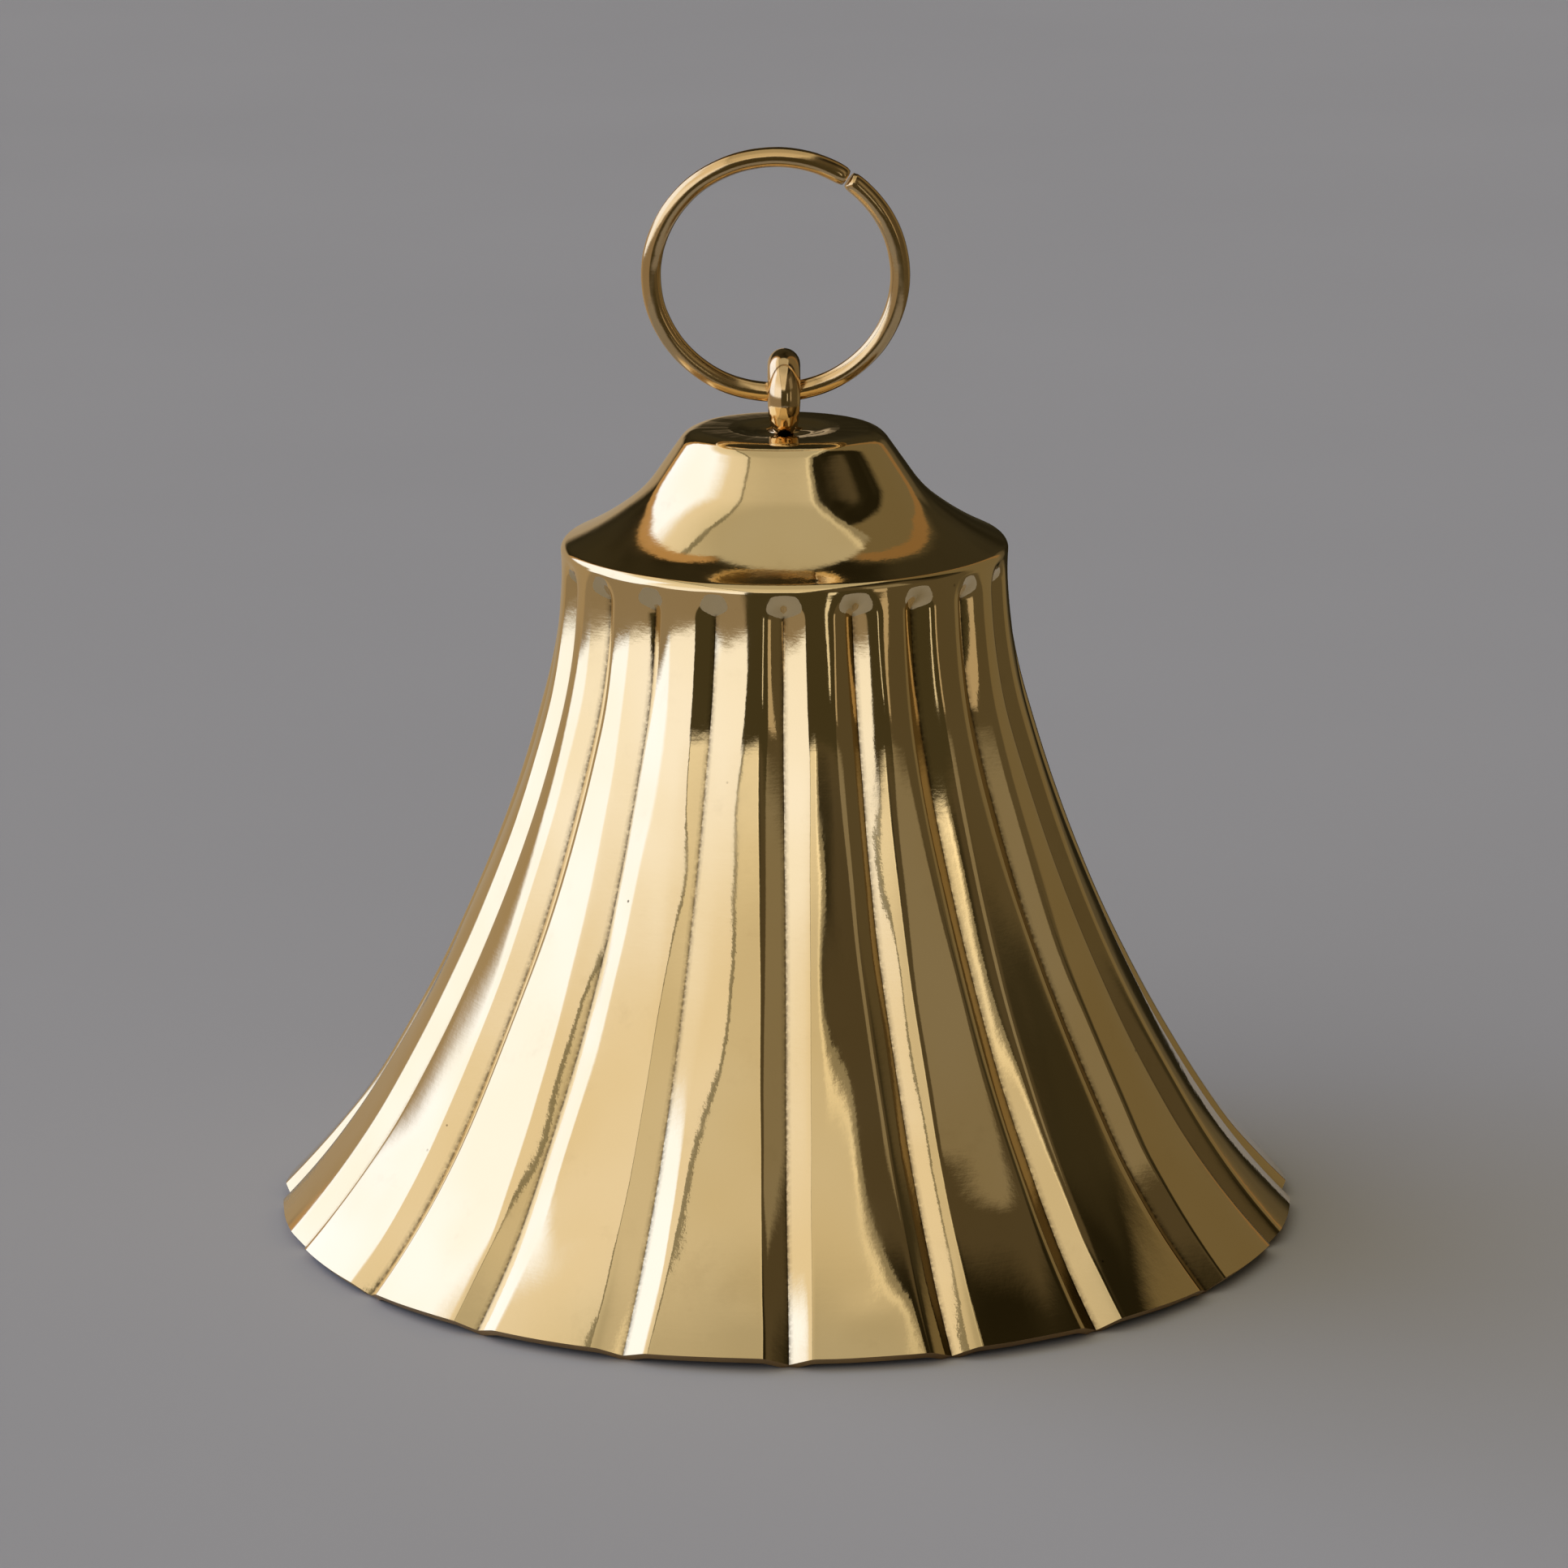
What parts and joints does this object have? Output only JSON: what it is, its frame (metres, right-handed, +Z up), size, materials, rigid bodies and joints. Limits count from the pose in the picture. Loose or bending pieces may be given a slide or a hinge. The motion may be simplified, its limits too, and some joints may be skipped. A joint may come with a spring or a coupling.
{
  "type": "christmas bell ornament",
  "caption": "Fluted brass bell ornament that stands on its mouth or hangs from its ring, with a swinging clapper inside.",
  "frame": {"origin": "centre of the mouth, on the surface that the bell stands on", "axes": "+Z up along the bell's axis, towards the hanging ring; +X to the right and -Y towards the viewer when the ring is seen face on"},
  "size_m": [0.0998, 0.0998, 0.1063],
  "materials": {
    "polished_brass": "mirror polished, with fine rubbing marks and darker creases",
    "ring_brass": "polished drawn wire, slightly warmer than the shell",
    "eye_brass": "polished, with tool marks at the foot",
    "fastener_brass": "turned, satin",
    "clapper_brass": "unpolished, a little dull"
  },
  "bodies": {
    "bell": {"bell_shell": "polished_brass", "crown_eye": "eye_brass", "inner_washer": "fastener_brass", "lock_nut": "fastener_brass", "clapper_hanger": "fastener_brass"},
    "ring": {"hanging_ring": "ring_brass"},
    "link": {"clapper_link": "clapper_brass"},
    "clapper": {"clapper_rod": "clapper_brass", "clapper_ball": "clapper_brass", "clapper_nuts": "fastener_brass"}
  },
  "joints": [
    {"name": "ring_swing", "type": "hinge", "parent": "bell", "child": "ring", "pos_m": [0, 0, 0.08193], "axis": [1, 0, 0], "range_deg": [-127, 106]},
    {"name": "link_swing", "type": "hinge", "parent": "bell", "child": "link", "pos_m": [0, 0, 0.06533], "axis": [1, 0, 0], "range_deg": [-21, 21]},
    {"name": "clapper_swing", "type": "hinge", "parent": "link", "child": "clapper", "pos_m": [0, 0, 0.06073], "axis": [0, 1, 0], "range_deg": [-21, 21]}
  ]
}
